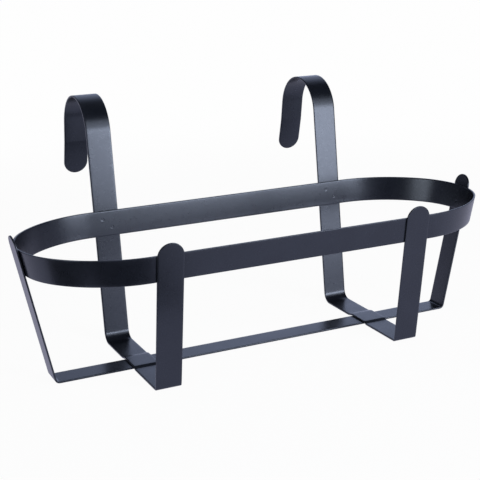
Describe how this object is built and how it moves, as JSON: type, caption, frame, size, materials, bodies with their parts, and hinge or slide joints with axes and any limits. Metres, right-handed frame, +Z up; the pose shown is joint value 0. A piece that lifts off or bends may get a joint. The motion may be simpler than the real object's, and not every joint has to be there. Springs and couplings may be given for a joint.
{
  "type": "flower box holder",
  "caption": "Rail-hung flower box holder: an oval rim ring of steel strip, carried by a cradle of bent flat straps whose back legs end in open rail hooks.",
  "frame": {"origin": "on the floor, in the middle of the base: halfway between the end uprights and halfway between the front and back uprights", "axes": "+X along the holder, from the viewer's left to right when it is seen from the front; +Y from the front to the railing side, where the hooks are; +Z up"},
  "size_m": [0.5826, 0.3159, 0.2855],
  "materials": {
    "powder_coat": "semi-matt black powder coat with a faint orange peel",
    "coated_weld": "the same powder coat over the dimples of spot welds and a filled butt seam"
  },
  "bodies": {
    "root": {"rim_ring": "powder_coat", "end_strap": "powder_coat", "hook_strap_left": "powder_coat", "hook_strap_right": "powder_coat", "weld_front_left": "coated_weld", "weld_back_left": "coated_weld", "weld_end_left": "coated_weld", "weld_base_left": "coated_weld", "weld_front_right": "coated_weld", "weld_back_right": "coated_weld", "weld_end_right": "coated_weld", "weld_base_right": "coated_weld", "ring_seam_weld": "coated_weld"}
  },
  "joints": []
}
